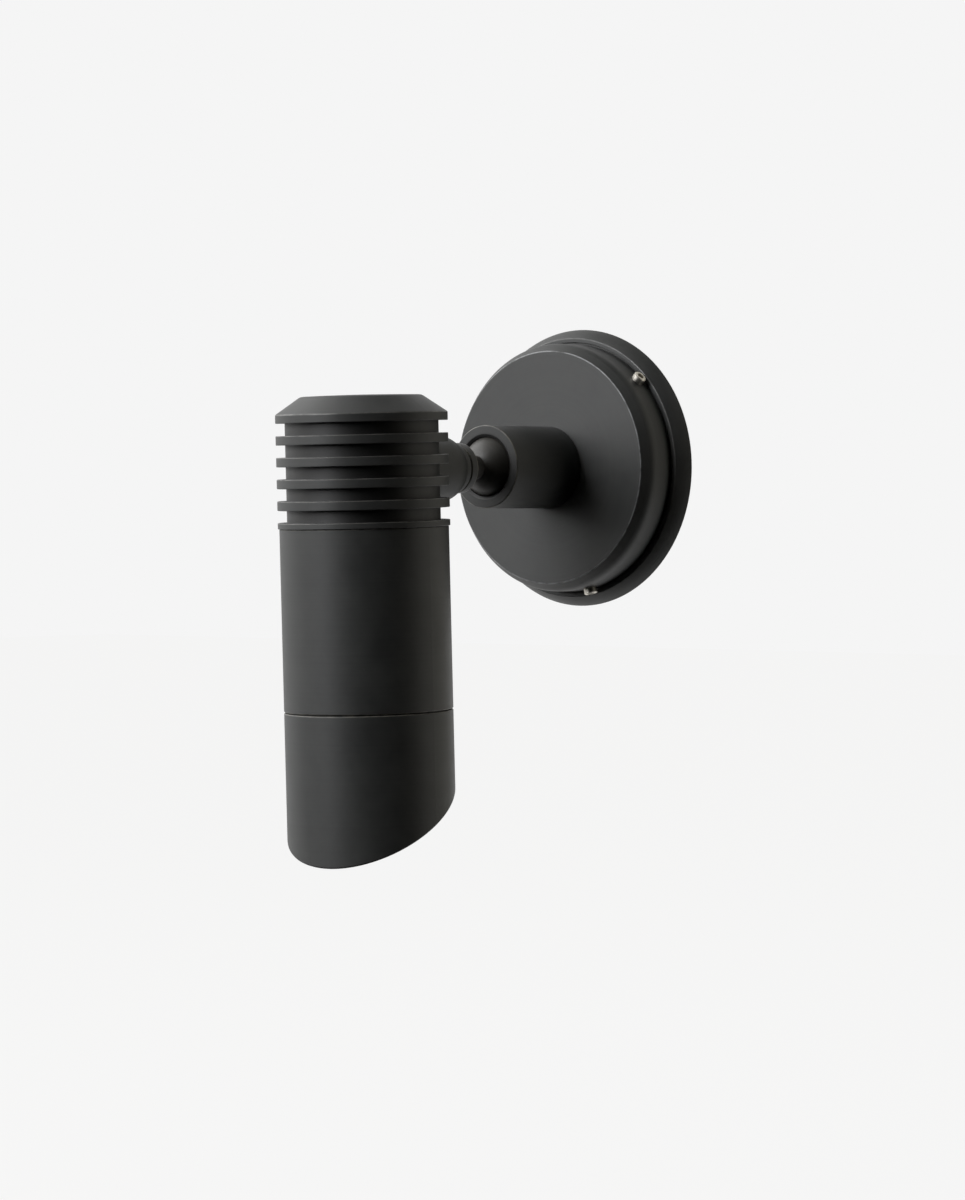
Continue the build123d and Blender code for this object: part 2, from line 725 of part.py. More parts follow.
# The finned heat sink: sloping cap, ring fins, a skirt and a spigot for the barrel, hollow inside.
with BuildPart() as heat_sink:
    with BuildSketch(head_section) as sink_profile:
        with BuildLine():
            TangentArc((0, cap_top), (cap_flat_r, cap_top - cap_crown), tangent=(1, 0))
            Polyline(
                (cap_flat_r, cap_top - cap_crown),
                (fin_r, cap_edge),
                (fin_r, skirt_end + fin_break),
                (fin_r - fin_break, skirt_end),
                (sink_spigot_r, skirt_end),
                (sink_spigot_r, sink_end),
                (0, sink_end),
                (0, cap_top),
            )
        make_face()
        fillet(sink_profile.vertices().sort_by_distance((fin_r, cap_edge))[0], rim_round)
        fillet(sink_profile.vertices().sort_by_distance((cap_flat_r, cap_top - cap_crown))[0], cap_round)
    revolve(axis=head_axis)
    # ring grooves with broken edges, evenly spaced about the hub
    for k in range(fin_count + 1):
        middle = -fins_half + fin_gap / 2 + k * (fin_gap + fin_thick)
        with BuildSketch(head_section):
            with BuildLine():
                Polyline(
                    (floor_r, middle - fin_gap / 2),
                    (fin_r - fin_break, middle - fin_gap / 2),
                    (fin_r, middle - fin_gap / 2 - fin_break),
                    (fin_r, middle + fin_gap / 2 + fin_break),
                    (fin_r - fin_break, middle + fin_gap / 2),
                    (floor_r, middle + fin_gap / 2),
                    close=True,
                )
            make_face()
        revolve(axis=head_axis, mode=Mode.SUBTRACT)
    # room for the leads, and the seal groove in the spigot
    with BuildSketch(head_face.offset(sink_end)):
        Circle(cavity_r)
    extrude(amount=cap_top - cavity_top - sink_end, mode=Mode.SUBTRACT)
    with BuildSketch(head_section):
        with Locations((sink_spigot_r, (skirt_end + sink_end) / 2)):
            Rectangle(2 * seal_floor, seal_room)
    revolve(axis=head_axis, mode=Mode.SUBTRACT)
    # pocket through the fins down to the flat for the hub's foot, and the hole for its spigot
    with BuildSketch(neck_face.offset(hub_foot)):
        Circle(hub_r + slide_fit)
    extrude(amount=-(fin_r - hub_seat_r) - overcut, mode=Mode.SUBTRACT)
    with BuildSketch(neck_face.offset(hub_foot)):
        Circle(hub_spigot_r + turn_fit)
    extrude(amount=hub_seat_r - cavity_r / 2, mode=Mode.SUBTRACT)
    # threaded holes for the screws of the holder plate
    with BuildSketch(head_face.offset(sink_end)):
        with PolarLocations(plate_screw_circle, 2):
            Circle(plate_screw_r + slide_fit)
    extrude(amount=plate_bite + overcut, mode=Mode.SUBTRACT)
save(heat_sink, "heat_sink")

with BuildPart() as sink_seal:
    with BuildSketch(head_section):
        with Locations((barrel_bore_r - sink_seal_wire, (skirt_end + sink_end) / 2)):
            Circle(sink_seal_wire)
    revolve(axis=head_axis)
save(sink_seal, "sink_seal")

with BuildPart() as barrel:
    with BuildSketch(head_section):
        with BuildLine():
            Polyline(
                (barrel_bore_r, skirt_end),
                (barrel_r - edge_break, skirt_end),
                (barrel_r, skirt_end - edge_break),
                (barrel_r, barrel_end + edge_break),
                (barrel_r - edge_break, barrel_end),
                (cowl_spigot_r, barrel_end),
                (cowl_spigot_r, barrel_tip),
                (barrel_neck_r, barrel_tip),
                (barrel_neck_r, barrel_tip + barrel_neck),
                (barrel_bore_r, barrel_tip + barrel_neck + barrel_bore_r - barrel_neck_r),
                close=True,
            )
        make_face()
    revolve(axis=head_axis)
    with BuildSketch(head_section):
        with Locations((cowl_spigot_r, (barrel_end + barrel_tip) / 2)):
            Rectangle(2 * cowl_seal_depth, cowl_seal_room)
    revolve(axis=head_axis, mode=Mode.SUBTRACT)
save(barrel, "barrel")

with BuildPart() as cowl_seal:
    with BuildSketch(head_section):
        with Locations((cowl_spigot_r - cowl_seal_depth + cowl_seal_wire, (barrel_end + barrel_tip) / 2)):
            Circle(cowl_seal_wire)
    revolve(axis=head_axis)
save(cowl_seal, "cowl_seal")

# The lamp's carrier: a steel plate under the heat sink, two posts and a ceramic holder.
with BuildPart() as holder_plate:
    with BuildSketch(head_face.offset(plate_low)):
        Circle(sink_spigot_r)
        Circle(lead_hole_r, mode=Mode.SUBTRACT)
        with PolarLocations(plate_screw_circle, 2):
            Circle(plate_screw_r + slide_fit, mode=Mode.SUBTRACT)
    extrude(amount=plate_thick)
save(holder_plate, "holder_plate")

with BuildPart() as plate_screws:
    with BuildSketch(head_face.offset(plate_low - plate_head)):
        with PolarLocations(plate_screw_circle, 2):
            Circle(plate_head_r)
    extrude(amount=plate_head)
    with BuildSketch(head_face.offset(plate_low)):
        with PolarLocations(plate_screw_circle, 2):
            Circle(plate_screw_r)
    extrude(amount=plate_thick + plate_bite)
    with BuildSketch(head_face.offset(plate_low - plate_head)):
        with PolarLocations(plate_screw_circle, 2):
            Rectangle(screw_slot, 2 * plate_head_r)
    extrude(amount=plate_head / 2, mode=Mode.SUBTRACT)
save(plate_screws, "plate_screws")

with BuildPart() as holder_posts:
    with BuildSketch(head_face.offset(holder_top)):
        with Locations((0, -post_x), (0, post_x)):
            Circle(post_r)
    extrude(amount=post_length)
save(holder_posts, "holder_posts")

with BuildPart() as lamp_holder:
    with BuildSketch(head_face.offset(lamp_back)):
        Circle(holder_r)
    extrude(amount=holder_height)
    with BuildSketch(head_face.offset(lamp_back)):
        with Locations((-pin_pitch / 2, 0), (pin_pitch / 2, 0)):
            Circle(pin_r + pin_play)
    extrude(amount=pin_length + pin_play, mode=Mode.SUBTRACT)
    with BuildSketch(head_face.offset(holder_top)):
        Circle(lead_hole_r)
    extrude(amount=-(holder_height - pin_length) / 2, mode=Mode.SUBTRACT)
    chamfer(lamp_holder.edges().group_by(Axis(head_centre, head_up))[0].sort_by(SortBy.LENGTH)[-1], edge_break)
save(lamp_holder, "lamp_holder")

# The reflector lamp: ceramic base with two pins, glass bowl, burner and front window.
with BuildPart() as lamp_base:
    with BuildSketch(head_face.offset(lamp_back - lamp_neck)):
        Circle(lamp_neck_r)
    extrude(amount=lamp_neck)
save(lamp_base, "lamp_base")

with BuildPart() as lamp_pins:
    with BuildSketch(head_face.offset(lamp_back)):
        with Locations((-pin_pitch / 2, 0), (pin_pitch / 2, 0)):
            Circle(pin_r)
    extrude(amount=pin_length)
save(lamp_pins, "lamp_pins")

with BuildPart() as lamp_reflector:
    bowl_top = lamp_back - lamp_neck
    bowl_rim = lamp_front + lamp_rim
    bowl_belly = (
        lamp_neck_r + (lamp_r - lamp_neck_r) * bowl_swell,
        bowl_top - (bowl_top - bowl_rim) * bowl_turn,
    )
    with BuildSketch(head_section):
        with BuildLine():
            Line((0, bowl_top), (lamp_neck_r, bowl_top))
            ThreePointArc((lamp_neck_r, bowl_top), bowl_belly, (lamp_r - lamp_shell, bowl_rim))
            Polyline(
                (lamp_r - lamp_shell, bowl_rim),
                (lamp_r, bowl_rim),
                (lamp_r, lamp_front),
                (lamp_r - lamp_shell, lamp_front),
                (lamp_r - lamp_shell, bowl_rim - lamp_shell),
                (lamp_r - 2 * lamp_shell, bowl_rim - lamp_shell),
            )
            ThreePointArc(
                (lamp_r - 2 * lamp_shell, bowl_rim - lamp_shell),
                (bowl_belly[0] - lamp_shell, bowl_belly[1] - lamp_shell),
                (capsule_r + turn_fit, bowl_top - lamp_shell),
            )
            Polyline(
                (capsule_r + turn_fit, bowl_top - lamp_shell),
                (0, bowl_top - lamp_shell),
                (0, bowl_top),
            )
        make_face()
    revolve(axis=head_axis)
save(lamp_reflector, "lamp_reflector")

with BuildPart() as lamp_burner:
    with BuildSketch(head_section):
        with BuildLine():
            burner_top = bowl_top - lamp_shell
            burner_turn = burner_top - capsule_length + capsule_r
            Polyline((0, burner_top), (capsule_r, burner_top), (capsule_r, burner_turn))
            RadiusArc((capsule_r, burner_turn), (0, burner_turn - capsule_r), capsule_r)
            Line((0, burner_turn - capsule_r), (0, burner_top))
        make_face()
    revolve(axis=head_axis)
save(lamp_burner, "lamp_burner")

with BuildPart() as lamp_window_disc:
    with BuildSketch(head_face.offset(lamp_front + edge_break)):
        Circle(lamp_r - lamp_shell - turn_fit)
    extrude(amount=lamp_rim - lamp_shell - edge_break)
save(lamp_window_disc, "lamp_window")

# ================================================================ cowl
# The cowl: socket over the barrel's spigot, ledge for the lens, and a visor cut off at a slant.
with BuildPart() as cowl:
    with BuildSketch(head_section):
        with BuildLine():
            Polyline(
                (cowl_bore_r, cowl_top),
                (barrel_r - edge_break, cowl_top),
                (barrel_r, cowl_top - edge_break),
                (barrel_r, visor_reach - overcut),
                (visor_bore_r, visor_reach - overcut),
                (visor_bore_r, ledge_low),
                (visor_bore_r - lens_ledge_in, ledge_low),
                (visor_bore_r - lens_ledge_in, lens_low),
                (cowl_bore_r, lens_low),
                close=True,
            )
        make_face()
    revolve(axis=head_axis)
    visor_long = neck_out * cos(radians(visor_turn)) + head_right * sin(radians(visor_turn))
    cut_normal = head_up * cos(radians(visor_angle)) + visor_long * sin(radians(visor_angle))
    slant = Plane(origin=head_centre + head_up * visor_middle, z_dir=cut_normal)
    split(bisect_by=slant, keep=Keep.TOP)
    fillet(cowl.faces().filter_by(slant).edges(), visor_round)
save(cowl, "cowl")

with BuildPart() as lens_gasket:
    with BuildSketch(head_face.offset(lens_top)):
        Circle(cowl_bore_r - lens_fit)
        Circle(cowl_bore_r - lens_fit - gasket_width, mode=Mode.SUBTRACT)
    extrude(amount=gasket_thick)
save(lens_gasket, "lens_gasket")

with BuildPart() as lens_glass:
    with BuildSketch(head_face.offset(lens_low)):
        Circle(cowl_bore_r - lens_fit)
    extrude(amount=lens_thick)
save(lens_glass, "lens_glass")

print(f"ball centre {ball_out:.2f} from the wall, head axis {head_reach:.2f} from the ball centre")
print(f"tube front at {tube_front:.2f}, cover face at {cover_front:.2f}, seam at {seam:.2f}")
print(f"cap top {cap_top:.2f}, barrel {skirt_end:.2f} to {barrel_end:.2f}, visor {visor_reach:.2f}")
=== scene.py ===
"""Looks for the pivoting spotlight wall light: materials, studio and camera, in metres.

The shared frame is used as it is: the origin on the wall at the canopy's centre, +Y into the wall, +Z up.
"""

from math import cos, pi, radians, sin, tan

import bpy
import numpy as np
from mathutils import Matrix, Vector

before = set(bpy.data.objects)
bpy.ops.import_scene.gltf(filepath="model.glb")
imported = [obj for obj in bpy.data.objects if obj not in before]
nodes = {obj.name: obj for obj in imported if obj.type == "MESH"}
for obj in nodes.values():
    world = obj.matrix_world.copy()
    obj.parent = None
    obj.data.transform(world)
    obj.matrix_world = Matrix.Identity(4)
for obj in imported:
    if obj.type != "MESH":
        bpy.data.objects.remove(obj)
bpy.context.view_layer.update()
mm = 0.001

# ---------------------------------------------------------------- the frames of the turned pieces
droop = radians(1.75)  # of the neck below level
lean = radians(0.35)  # of the head about the neck
ball_out_mm = 50.705  # from the wall to the ball's centre
head_reach_mm = 72.65  # from the ball's centre to the head's axis, along the neck
ball_centre = Vector((0, -ball_out_mm * mm, 0))
neck_out = Vector((0, -cos(droop), -sin(droop)))
hang = Vector((0, sin(droop), -cos(droop)))
head_up = -(hang * cos(lean) + Vector((1, 0, 0)) * sin(lean))
head_centre = ball_centre + neck_out * head_reach_mm * mm


def place(origin, axis, side):
    """Frame of a turned piece: its local z runs along the axis, and its local x points to side."""
    z = Vector(axis).normalized()
    x = (Vector(side) - z * Vector(side).dot(z)).normalized()
    y = z.cross(x)
    turn = Matrix((x, y, z)).transposed()
    return Matrix.Translation(origin) @ turn.to_4x4()


canopy = place((0, 0, 0), (0, -1, 0), (1, 0, 0))
neck = place(ball_centre, neck_out, (1, 0, 0))
head = place(head_centre, head_up, (1, 0, 0))


# ---------------------------------------------------------------- shader nodes
def linear(code):
    """sRGB hex to the linear values that the shaders take, by the curve of the sRGB standard."""
    channels = [int(code[i : i + 2], 16) / 255 for i in (1, 3, 5)]
    return [c / 12.92 if c <= 0.04045 else ((c + 0.055) / 1.055) ** 2.4 for c in channels] + [1.0]


def add(tree, kind, inputs=None, **settings):
    """One shader node with its settings, and its inputs set or linked."""
    made = tree.nodes.new(kind)
    for key, value in settings.items():
        setattr(made, key, value)
    for key, value in (inputs or {}).items():
        if isinstance(value, bpy.types.NodeSocket):
            tree.links.new(value, made.inputs[key])
        else:
            made.inputs[key].default_value = value
    return made


def noise(tree, where, size_mm, detail=2.0, roughness=0.5):
    """Noise at those coordinates, with forms about size_mm wide."""
    inputs = {"Vector": where, "Scale": 1 / (size_mm * mm), "Detail": detail, "Roughness": roughness}
    return add(tree, "ShaderNodeTexNoise", inputs).outputs[0]


def calculate(tree, operation, *values):
    """What a maths node makes of those values or sockets."""
    return add(tree, "ShaderNodeMath", dict(enumerate(values)), operation=operation).outputs[0]


def remap(tree, value, start, end, low=0.0, high=1.0, **settings):
    """The value taken from the range start to end into the range low to high, and held inside it."""
    inputs = {"Value": value, "From Min": start, "From Max": end, "To Min": low, "To Max": high}
    return add(tree, "ShaderNodeMapRange", inputs, **settings).outputs[0]


def mix_colours(tree, share, first, second):
    """One colour passing into another by that share; each is a value or a socket."""
    return add(tree, "ShaderNodeMix", {0: share, 6: first, 7: second}, data_type="RGBA").outputs[2]


def empty_material(name):
    """A material with nothing in its node tree yet; returns both."""
    material = bpy.data.materials.new(name)
    material.use_nodes = True
    material.node_tree.nodes.clear()
    return material, material.node_tree


def new_material(name, surface):
    """A material with a Principled surface of those inputs; returns it, its tree and the surface node."""
    material, tree = empty_material(name)
    bsdf = add(tree, "ShaderNodeBsdfPrincipled", surface)
    add(tree, "ShaderNodeOutputMaterial", {"Surface": bsdf.outputs[0]})
    return material, tree, bsdf


def emboss(tree, bsdf, height, depth_mm, **inputs):
    """Gives the surface a fine relief of that height over that depth."""
    inputs = {"Height": height, "Distance": depth_mm * mm, "Strength": 1.0, **inputs}
    bump = add(tree, "ShaderNodeBump", inputs)
    tree.links.new(bump.outputs[0], bsdf.inputs["Normal"])


def piece_coordinates(tree, frame_of_piece):
    """Object coordinates in the piece's own frame, then its radius and height, also as one vector."""
    shift, turn, _ = frame_of_piece.inverted().decompose()
    coords = add(tree, "ShaderNodeTexCoord")
    inputs = {"Vector": coords.outputs["Object"], "Location": shift, "Rotation": turn.to_euler()}
    local = add(tree, "ShaderNodeMapping", inputs).outputs[0]
    parts = add(tree, "ShaderNodeSeparateXYZ", {"Vector": local}).outputs
    flat = add(tree, "ShaderNodeCombineXYZ", {"X": parts["X"], "Y": parts["Y"]}).outputs[0]
    radius = add(tree, "ShaderNodeVectorMath", {0: flat}, operation="LENGTH").outputs["Value"]
    profile = add(tree, "ShaderNodeCombineXYZ", {"X": radius, "Y": parts["Z"]}).outputs[0]
    return local, radius, parts["Z"], profile


# ---------------------------------------------------------------- materials
common_ior = 1.5  # of the dyed oxide, of plastics and of glass

# The anodised finish: the names in _mm are millimetres, the others are shares or shader values.
cloud_mm = 15  # clouds in the dye
mark_mm = 0.6  # turning marks, drawn wider than the real 0.1 mm so that they show
grain_mm = 0.4  # the blasted grain
smear_mm = 20  # smears in the sheen, round the piece
smear_squeeze = (1, 1, 4)  # how much narrower the smears are along the axis
mark_share = 0.35  # weight of the marks beside the clouds in the tone
tone_range = (0.45, 0.9)  # of that sum, from the dark to the light tone
smear_share = 0.3  # weight of the smears beside the clouds in the roughness
rough_range = (0.45, 0.85)  # of that sum, from the least to the greatest roughness
relief_mm = 0.006  # depth of marks and grain
broken_edge_mm = 0.35  # radius over which the edges are softly broken
broken_edge_samples = 6
rub_and_highlight_mm = 0.45  # how far the rubbing and the painted edge highlight reach from an edge
patch_mm = 4  # patches of the rubbing and the painted edge highlight
patch_range = (0.3, 0.6)  # of the patches, from none to the most
strongest_rub_and_highlight = 0.9  # share of the lighter edge tone, rubbing and painted highlight, where it is strongest
rubbed_smooth = -0.28  # change of the roughness there
recess_fade_mm = 1.5  # over which the painted shade of a recess fades into the open face
# painted shade laid into recesses: the groove floors between the fins and the tube's mouth round the ball
painted_recess_shade = "#141413"
black_dye = ("#292a2a", "#333433")
satin = (0.46, 0.55)

# The other finishes.
metal_relief_mm = 0.003  # depth of the marks on bare metal
moulded_cloud_mm = 6  # clouds in plastic, rubber and ceramic
glass_ripple_mm = 12  # waves in the face of the glass
glass_relief_mm = 0.01  # their depth


def edge_mask(tree, profile, rings):
    """1 on the turned edges given as (radius, height) rings, falling smoothly to 0 at rub_and_highlight_mm."""
    nearest = None
    for ring_r, ring_h in rings:
        there = (ring_r * mm, ring_h * mm, 0)
        gap = add(tree, "ShaderNodeVectorMath", {0: profile, 1: there}, operation="DISTANCE").outputs["Value"]
        nearest = gap if nearest is None else calculate(tree, "MINIMUM", nearest, gap)
    return remap(tree, nearest, 0.0, rub_and_highlight_mm * mm, 1.0, 0.0, interpolation_type="SMOOTHSTEP")


def anodised(name, frame_of_piece, rings=(), recess=None, dye=black_dye, edge_rub_and_highlight="#8a867c", rough=satin):
    """Black-dyed anodised aluminium, turned and then finely blasted.

    The dyed oxide is a hard skin over metal, so it reflects as a dark dielectric with a wide soft sheen.
    Turning marks run round the axis, the dye is a little cloudy, and the sheen has faint smears round the
    piece. Handled edges, given as (radius, height) rings, are painted lighter and made smoother, for light
    rubbing and as painted edge highlights, and all edges are softly broken. A recess is painted darker as
    painted shade. The recess is given as (radius inside which it lies, height below which it lies).
    """
    material, tree, bsdf = new_material(name, {"IOR": common_ior})
    local, radius, height, profile = piece_coordinates(tree, frame_of_piece)
    clouds = noise(tree, local, cloud_mm, detail=5.0, roughness=0.65)
    marks = noise(tree, profile, mark_mm)
    grain = noise(tree, local, grain_mm)
    squeezed = add(tree, "ShaderNodeMapping", {"Vector": local, "Scale": smear_squeeze}).outputs[0]
    smears = noise(tree, squeezed, smear_mm, detail=6.0)
    tone = remap(tree, calculate(tree, "MULTIPLY_ADD", marks, mark_share, clouds), *tone_range)
    colour = mix_colours(tree, tone, linear(dye[0]), linear(dye[1]))
    uneven = calculate(tree, "MULTIPLY_ADD", smears, smear_share, clouds)
    roughness = remap(tree, uneven, *rough_range, *rough)
    if rings:
        patches = remap(tree, noise(tree, local, patch_mm, detail=5.0), *patch_range, high=strongest_rub_and_highlight)
        # painted edge highlight together with light rubbing: the edges take a lighter tone and a smoother
        # sheen
        rub_and_highlight = calculate(tree, "MULTIPLY", edge_mask(tree, profile, rings), patches)
        colour = mix_colours(tree, rub_and_highlight, colour, linear(edge_rub_and_highlight))
        roughness = calculate(tree, "MULTIPLY_ADD", rub_and_highlight, rubbed_smooth, roughness)
    # painted shade: inside the recess the colour passes into a darker tone, fading out towards the open face
    if recess:
        recess_r, recess_h = recess
        deep = remap(tree, radius, recess_r * mm, (recess_r + recess_fade_mm) * mm, 1.0, 0.0)
        below = calculate(tree, "LESS_THAN", height, recess_h * mm)
        colour = mix_colours(tree, calculate(tree, "MULTIPLY", deep, below), colour, linear(painted_recess_shade))
    tree.links.new(colour, bsdf.inputs["Base Color"])
    tree.links.new(roughness, bsdf.inputs["Roughness"])
    soft_edge = add(tree, "ShaderNodeBevel", {"Radius": broken_edge_mm * mm}, samples=broken_edge_samples)
    emboss(tree, bsdf, calculate(tree, "ADD", marks, grain), relief_mm, Normal=soft_edge.outputs[0])
    return material


def turned_metal(name, tones, frame_of_piece, rough, marks_mm=0.25):
    """Bare turned or rolled metal: full metallic, with fine marks round the axis that stretch its sheen."""
    material, tree, bsdf = new_material(name, {"Metallic": 1.0, "Roughness": rough})
    profile = piece_coordinates(tree, frame_of_piece)[-1]
    marks = noise(tree, profile, marks_mm, detail=3.0)
    tint = mix_colours(tree, marks, linear(tones[0]), linear(tones[1]))
    tree.links.new(tint, bsdf.inputs["Base Color"])
    emboss(tree, bsdf, marks, metal_relief_mm)
    return material


def moulded(name, tones, rough, fine_mm=0.5, depth_mm=0.01):
    """Moulded plastic, rubber or glazed ceramic: two close tones in soft clouds and a fine surface grain."""
    material, tree, bsdf = new_material(name, {"IOR": common_ior, "Roughness": rough})
    where = add(tree, "ShaderNodeTexCoord").outputs["Object"]
    clouds = noise(tree, where, moulded_cloud_mm, detail=3.0)
    tint = mix_colours(tree, clouds, linear(tones[0]), linear(tones[1]))
    tree.links.new(tint, bsdf.inputs["Base Color"])
    emboss(tree, bsdf, noise(tree, where, fine_mm), depth_mm)
    return material


def clear_glass(name, tone):
    """Clear glass: it bends the light as soda-lime or quartz glass does, with a faint cast of its own."""
    surface = {"IOR": common_ior, "Transmission Weight": 1.0, "Base Color": linear(tone), "Roughness": 0.0}
    material, tree, bsdf = new_material(name, surface)
    where = add(tree, "ShaderNodeTexCoord").outputs["Object"]
    emboss(tree, bsdf, noise(tree, where, glass_ripple_mm), glass_relief_mm, Strength=0.5)
    return material


# Edges and recesses as (radius, height) in millimetres, in the frame of the piece: the edges carry painted
# highlights, the recesses painted shade.
flange_edge = (47.7, 5.6)
cover_edge = (42.6, 19.6)
tube_edge = (15, 56.1)
# the mouth of the tube round the ball, painted darker as painted shade
tube_mouth_shade = (11.3, 60)
hub_edge = (9, 23.7)
collar_edges = [(9, 20.2), (9, 23.4), (6, 17.2)]
fin_r = 30
first_fin_edge = -17.25
fin_pitch = 7.55
# the upper edges of the fins only, where the painted edge highlights fall
fin_edges = [(fin_r, first_fin_edge + fin_pitch * k) for k in range(5)]
cap_edge = (fin_r, 20.25)
# the groove floors between the fins, painted darker as painted shade
groove_floor_shade = (27.5, 17.3)
barrel_edges = [(29.5, -19.35), (29.5, -83.0)]
cowl_edge = (29.5, -83.3)

# each piece's lighter edge tone paints its edge highlight together with light rubbing
dress = {
    "base_plate": anodised("anodised_base_plate", canopy, [flange_edge], edge_rub_and_highlight="#4c4c4b"),
    "cover": anodised("anodised_cover", canopy, [cover_edge], edge_rub_and_highlight="#8b8d90"),
    "ball_tube": anodised("anodised_ball_tube", canopy, [tube_edge], tube_mouth_shade),
    "hub": anodised("anodised_hub", neck, [hub_edge]),
    "lock_collar": anodised("anodised_collar", neck, collar_edges),
    "heat_sink": anodised("anodised_heat_sink", head, fin_edges + [cap_edge], groove_floor_shade, edge_rub_and_highlight="#5c5b58"),
    "barrel": anodised("anodised_barrel", head, barrel_edges),
    "cowl": anodised("anodised_cowl", head, [cowl_edge]),
    "ball_stud": anodised("anodised_ball", neck, dye=("#2c2b28", "#34322e"), rough=(0.42, 0.5)),
}
steel = turned_metal("bright_stainless_steel", ("#e4e0d6", "#cfcabf"), canopy, 0.42)
plated = turned_metal("zinc_plated_steel", ("#b4b6ba", "#94969a"), head, 0.3)
spring_steel = turned_metal("blued_spring_steel", ("#6a7078", "#4c5158"), canopy, 0.32)
brass = turned_metal("turned_brass", ("#c8a45c", "#a98545"), canopy, 0.28)
mirror = turned_metal("metallised_bowl", ("#e6e6e8", "#d4d4d6"), head, 0.12, marks_mm=3.0)
acetal = moulded("moulded_acetal", ("#dedbd2", "#cfcbc0"), 0.4)
nylon = moulded("moulded_nylon", ("#e6e4dc", "#d8d5cb"), 0.45)
sleeving = moulded("glass_fibre_sleeving", ("#cfc4a4", "#b5a987"), 0.7, fine_mm=0.35, depth_mm=0.05)
epdm = moulded("epdm_rubber", ("#141414", "#1d1d1d"), 0.6, fine_mm=0.4, depth_mm=0.02)
steatite = moulded("glazed_steatite", ("#e8e3d6", "#dcd6c7"), 0.25, fine_mm=0.8, depth_mm=0.004)
float_glass = clear_glass("toughened_float_glass", "#f1f8f5")
quartz = clear_glass("quartz_glass", "#f8f8f6")
for material, names in (
    (steel, ["cover_screws", "stud_nut", "block_screws", "lamp_pins"]),
    (plated, ["holder_plate", "holder_posts", "plate_screws"]),
    (spring_steel, ["disc_springs"]),
    (brass, ["tube_nut", "spring_retainer", "terminal_screws", "earth_screw"]),
    (mirror, ["lamp_reflector"]),
    (acetal, ["front_seat", "rear_seat"]),
    (nylon, ["terminal_block"]),
    (sleeving, ["lead_sleeve"]),
    (epdm, ["wall_seal", "cover_seal", "hub_seal", "sink_seal", "cowl_seal", "lens_gasket", "cable_grommet"]),
    (steatite, ["lamp_holder", "lamp_base"]),
    (float_glass, ["lens_glass", "lamp_window"]),
    (quartz, ["lamp_burner"]),
):
    for name in names:
        dress[name] = material
for name, material in dress.items():
    nodes[name].data.materials.clear()
    nodes[name].data.materials.append(material)

# ---------------------------------------------------------------- studio
paper = linear("#f5f5f5")  # the plain ground, as it is seen
room_tone, room_strength = linear("#f8f5e9"), 0.9  # what the room lights the object with
floor_level, floor_half_width = -0.42, 9.0
floor_glow = 0.96  # share of the floor's brightness that no shadow takes away
cloth_lift = 1 * mm
screen_distance = 1.1
screen_columns, screen_rows = 25, 13
softbox_distance = 2.4
softbox_aim = Vector((0, -0.08, -0.02))


def for_the_eye(tree, seen, lit):
    """Mixes seen over lit for camera, mirror and glass rays, so the ground reads as plain pale paper."""
    path = add(tree, "ShaderNodeLightPath").outputs
    both = calculate(tree, "MAXIMUM", path["Is Camera Ray"], path["Is Glossy Ray"])
    every = calculate(tree, "MAXIMUM", both, path["Is Transmission Ray"])
    return add(tree, "ShaderNodeMixShader", {0: every, 1: lit, 2: seen}).outputs[0]


world = bpy.data.worlds.new("studio")
bpy.context.scene.world = world
world.use_nodes = True
room = world.node_tree
room.nodes.clear()
seen_room = add(room, "ShaderNodeBackground", {"Color": paper, "Strength": 1.0})
lit_room = add(room, "ShaderNodeBackground", {"Color": room_tone, "Strength": room_strength})
add(room, "ShaderNodeOutputWorld", {"Surface": for_the_eye(room, seen_room.outputs[0], lit_room.outputs[0])})


def sheet_mesh(name, x, y, z, material):
    """One surface of that material from grids of coordinates, rows by columns."""
    rows, columns = x.shape
    index = np.arange(rows * columns).reshape(rows, columns)
    quads = np.stack([index[:-1, :-1], index[:-1, 1:], index[1:, 1:], index[1:, :-1]], -1).reshape(-1, 4)
    mesh = bpy.data.meshes.new(name)
    mesh.from_pydata(np.stack([x, y, z], -1).reshape(-1, 3), [], quads)
    mesh.materials.append(material)
    made = bpy.data.objects.new(name, mesh)
    bpy.context.scene.collection.objects.link(made)
    return made


def floor():
    """The pale floor under the light: a flat sheet that runs out of sight and is clear from below."""
    material, tree = empty_material("floor_paper")
    matt = add(tree, "ShaderNodeBsdfDiffuse", {"Color": paper}).outputs[0]
    glow = add(tree, "ShaderNodeEmission", {"Color": paper, "Strength": 1.0}).outputs[0]
    part = add(tree, "ShaderNodeMixShader", {0: floor_glow, 1: matt, 2: glow}).outputs[0]
    above = for_the_eye(tree, part, matt)
    under = add(tree, "ShaderNodeNewGeometry").outputs["Backfacing"]
    clear = add(tree, "ShaderNodeBsdfTransparent").outputs[0]
    one_sided = add(tree, "ShaderNodeMixShader", {0: under, 1: above, 2: clear}).outputs[0]
    add(tree, "ShaderNodeOutputMaterial", {"Surface": one_sided})
    ends = (-floor_half_width, floor_half_width)
    across, along = np.meshgrid(ends, ends)
    made = sheet_mesh("floor", across, along, np.full_like(across, floor_level), material)


def screen(name, x, y, z, tone):
    """A studio screen of that tone about the object, which the camera does not see."""
    material, tree = empty_material(name)
    glow = add(tree, "ShaderNodeEmission", {"Color": linear(tone), "Strength": 1.0})
    add(tree, "ShaderNodeOutputMaterial", {"Surface": glow.outputs[0]})
    made = sheet_mesh(name, x, y, z, material)
    made.visible_camera = False
    made.visible_transmission = False
    return made


